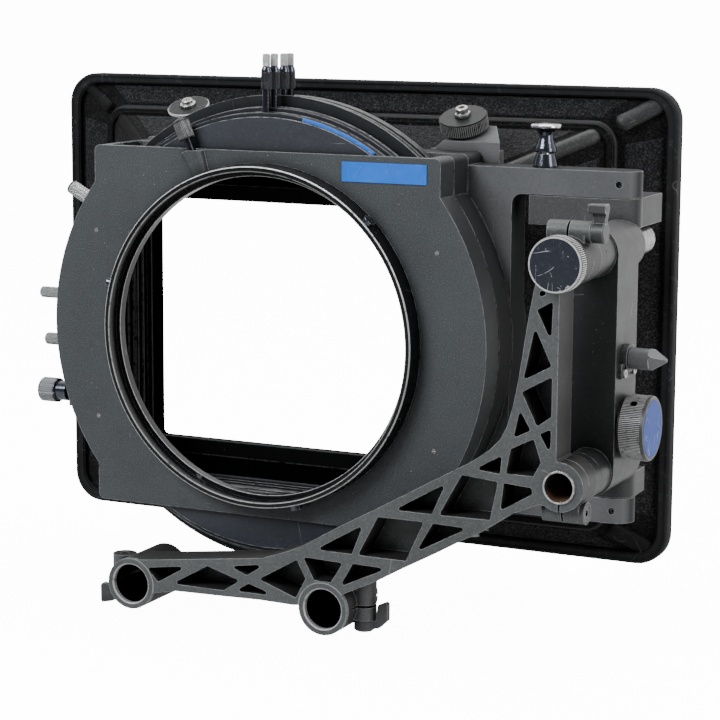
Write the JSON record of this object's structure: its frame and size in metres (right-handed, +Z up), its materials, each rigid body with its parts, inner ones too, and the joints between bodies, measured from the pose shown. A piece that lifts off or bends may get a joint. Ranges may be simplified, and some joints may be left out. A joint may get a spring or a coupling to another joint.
{
  "type": "studio matte box with swing-away bracket",
  "caption": "Studio matte box with a flared sunshade, rotating filter stages and a swing-away truss bracket clamped to studio rods.",
  "frame": {"origin": "on the optical axis, at the lens-side face of the rear cover", "axes": "+Y along the optical axis towards the scene, +X to the right seen from the camera, +Z up"},
  "size_m": [0.3728, 0.1615, 0.2715],
  "materials": {
    "anodised_black": "fine-grained black anodised aluminium, edges worn to grey",
    "disc_black": "satin blue-black anodised aluminium",
    "truss_grey": "satin dark grey paint on a casting, edges rubbed bright",
    "link_grey": "satin dark grey anodised aluminium",
    "bright_steel": "polished steel",
    "knurled_silver": "knurled bare steel, dull",
    "tube_steel": "ground steel tube, browned inside",
    "knob_black": "black anodised knurled knob with a bright worn rim",
    "knob_inlay_dark": "scratched dark inlay disc",
    "knob_inlay_blue": "plain blue inlay disc",
    "label_blue": "plain blue label, no text",
    "hood_flock": "black flocked panels",
    "hood_rubber": "satin black rubber",
    "bronze": "plain bearing bronze",
    "spring_steel": "spring wire",
    "black_screw": "blackened steel screw with worn slot",
    "polymer": "low-friction polymer"
  },
  "bodies": {
    "bracket": {"truss_bracket": "truss_grey", "upper_guide_tube": "bright_steel", "lower_guide_tube": "tube_steel", "rod_clamp_nuts": "knurled_silver", "lower_clamp_screw": "black_screw"},
    "rod_lever_left": {"rod_clamp_lever_left": "link_grey"},
    "rod_lever_right": {"rod_clamp_lever_right": "link_grey"},
    "tube_lever": {"upper_clamp_lever": "link_grey"},
    "tube_knob": {"tube_lock_knob": "knob_black", "tube_lock_knob_cap": "knob_inlay_dark", "tube_draw_bar": "tube_steel"},
    "carriage": {"link_carriage": "link_grey", "guide_liners": "bronze", "hinge_bushes": "bronze", "plunger_flange": "link_grey", "plunger_flange_screws": "knurled_silver", "plunger_spring": "spring_steel"},
    "carriage_knob": {"carriage_lock_knob": "knob_black", "carriage_lock_knob_disc": "knob_inlay_blue", "lock_cam_shaft": "knurled_silver"},
    "plunger": {"plunger_cap": "link_grey", "plunger_pin": "bright_steel"},
    "matte_box": {"rear_cover": "anodised_black", "cover_screws": "knurled_silver", "lens_ring": "anodised_black", "ring_screws": "black_screw", "divider_plate": "anodised_black", "stage_slip_ring": "polymer", "main_frame": "link_grey", "aperture_mask": "anodised_black", "hinge_pins": "bright_steel", "hinge_set_screws": "black_screw", "latch_housing": "bright_steel", "latch_spring": "spring_steel", "label_plate": "label_blue", "hood_mount": "link_grey", "hood_funnel": "hood_flock", "hood_brim": "hood_flock", "hood_rim": "hood_rubber"},
    "ring_screw": {"ring_clamp_screw": "knurled_silver"},
    "stage_rear": {"stage_disc_rear": "disc_black"},
    "stage_front": {"stage_disc_front": "anodised_black"},
    "tray_1": {"filter_tray_1": "anodised_black", "tray_handle_1": "knob_black"},
    "tray_2": {"filter_tray_2": "anodised_black", "tray_handle_2": "knob_black"},
    "tray_3": {"filter_tray_3": "anodised_black", "tray_handle_3": "knob_black"},
    "tray_4": {"filter_tray_4": "anodised_black", "tray_handle_4": "knob_black"},
    "latch": {"latch_pull_knob": "bright_steel", "latch_pin": "bright_steel"},
    "lock_screw_upper": {"stage_lock_screw_upper": "knob_black"},
    "lock_screw_lower": {"stage_lock_screw_lower": "knob_black"},
    "side_screw": {"side_knurled_screw": "knurled_silver"},
    "radial_screw": {"radial_lock_screw": "knurled_silver"},
    "flag_knob": {"flag_knob_right": "knob_black"},
    "flag_disc": {"flag_disc_left": "knob_black"},
    "flag_disc_low_right": {"flag_disc_lower_right": "knob_black"},
    "flag_disc_low_left": {"flag_disc_lower_left": "knob_black"}
  },
  "joints": [
    {"name": "carriage_slide", "type": "slide", "parent": "bracket", "child": "carriage", "axis": [0, 1, 0], "range_m": [0, 0.025]},
    {"name": "swing_hinge", "type": "hinge", "parent": "carriage", "child": "matte_box", "pos_m": [0.1675, 0.0418, 0], "axis": [0, 0, -1], "range_deg": [0, 100]},
    {"name": "rod_lever_left_turn", "type": "hinge", "parent": "bracket", "child": "rod_lever_left", "pos_m": [-0.0655, -0.021, -0.13], "axis": [0, 0, 1], "range_deg": [-60, 60]},
    {"name": "rod_lever_right_turn", "type": "hinge", "parent": "bracket", "child": "rod_lever_right", "pos_m": [0.0655, -0.021, -0.13], "axis": [0, 0, 1], "range_deg": [-55, 55]},
    {"name": "tube_lever_turn", "type": "hinge", "parent": "bracket", "child": "tube_lever", "pos_m": [0.179, -0.0295, 0.0626], "axis": [1, 0, 0], "range_deg": [-50, 60]},
    {"name": "tube_knob_turn", "type": "hinge", "parent": "bracket", "child": "tube_knob", "pos_m": [0.1682, -0.045, 0.05], "axis": [0, -1, 0], "range_deg": [0, 360]},
    {"name": "carriage_knob_turn", "type": "hinge", "parent": "carriage", "child": "carriage_knob", "pos_m": [0.187, 0.014, -0.0306], "axis": [1, 0, 0], "range_deg": [0, 90]},
    {"name": "plunger_pull", "type": "slide", "parent": "carriage", "child": "plunger", "axis": [1, 0, 0], "range_m": [0, 0.004], "deforming": ["plunger_spring"]},
    {"name": "latch_pull", "type": "slide", "parent": "matte_box", "child": "latch", "axis": [0, 0, 1], "range_m": [0, 0.004], "deforming": ["latch_spring"]},
    {"name": "ring_screw_turn", "type": "hinge", "parent": "matte_box", "child": "ring_screw", "pos_m": [-0.03907, -0.0012, 0.09205], "axis": [-0.3907, 0, 0.9205], "range_deg": [0, 360]},
    {"name": "stage_rear_rotate", "type": "hinge", "parent": "matte_box", "child": "stage_rear", "pos_m": [0, 0.009, 0], "axis": [0, 1, 0], "range_deg": [-30, 0]},
    {"name": "stage_front_rotate", "type": "hinge", "parent": "matte_box", "child": "stage_front", "pos_m": [0, 0.024, 0], "axis": [0, 1, 0], "range_deg": [-30, 0]},
    {"name": "tray_1_slide", "type": "slide", "parent": "stage_rear", "child": "tray_1", "axis": [0, 0, 1], "range_m": [0, 0.16]},
    {"name": "tray_2_slide", "type": "slide", "parent": "stage_rear", "child": "tray_2", "axis": [0, 0, 1], "range_m": [0, 0.16]},
    {"name": "tray_3_slide", "type": "slide", "parent": "stage_front", "child": "tray_3", "axis": [0, 0, 1], "range_m": [0, 0.16]},
    {"name": "tray_4_slide", "type": "slide", "parent": "stage_front", "child": "tray_4", "axis": [0, 0, 1], "range_m": [0, 0.16]},
    {"name": "lock_screw_upper_turn", "type": "hinge", "parent": "matte_box", "child": "lock_screw_upper", "pos_m": [-0.134, 0.022, 0.0104], "axis": [-1, 0, 0], "range_deg": [0, 360]},
    {"name": "lock_screw_lower_turn", "type": "hinge", "parent": "matte_box", "child": "lock_screw_lower", "pos_m": [-0.134, 0.022, -0.0137], "axis": [-1, 0, 0], "range_deg": [0, 360]},
    {"name": "side_screw_turn", "type": "hinge", "parent": "matte_box", "child": "side_screw", "pos_m": [-0.136, 0.022, -0.0405], "axis": [-1, 0, 0], "range_deg": [0, 360]},
    {"name": "radial_screw_turn", "type": "hinge", "parent": "matte_box", "child": "radial_screw", "pos_m": [-0.11478, 0.025, 0.06103], "axis": [-0.8829, 0, 0.4695], "range_deg": [0, 360]},
    {"name": "flag_knob_turn", "type": "hinge", "parent": "matte_box", "child": "flag_knob", "pos_m": [0.0795, 0.061, 0.09842], "axis": [0, -0.4067, 0.9135], "range_deg": [0, 360]},
    {"name": "flag_disc_turn", "type": "hinge", "parent": "matte_box", "child": "flag_disc", "pos_m": [-0.0725, 0.061, 0.09842], "axis": [0, -0.4067, 0.9135], "range_deg": [0, 360]},
    {"name": "flag_disc_low_right_turn", "type": "hinge", "parent": "matte_box", "child": "flag_disc_low_right", "pos_m": [0.0795, 0.061, -0.09842], "axis": [0, -0.4067, -0.9135], "range_deg": [0, 360]},
    {"name": "flag_disc_low_left_turn", "type": "hinge", "parent": "matte_box", "child": "flag_disc_low_left", "pos_m": [-0.0795, 0.061, -0.09842], "axis": [0, -0.4067, -0.9135], "range_deg": [0, 360]}
  ]
}
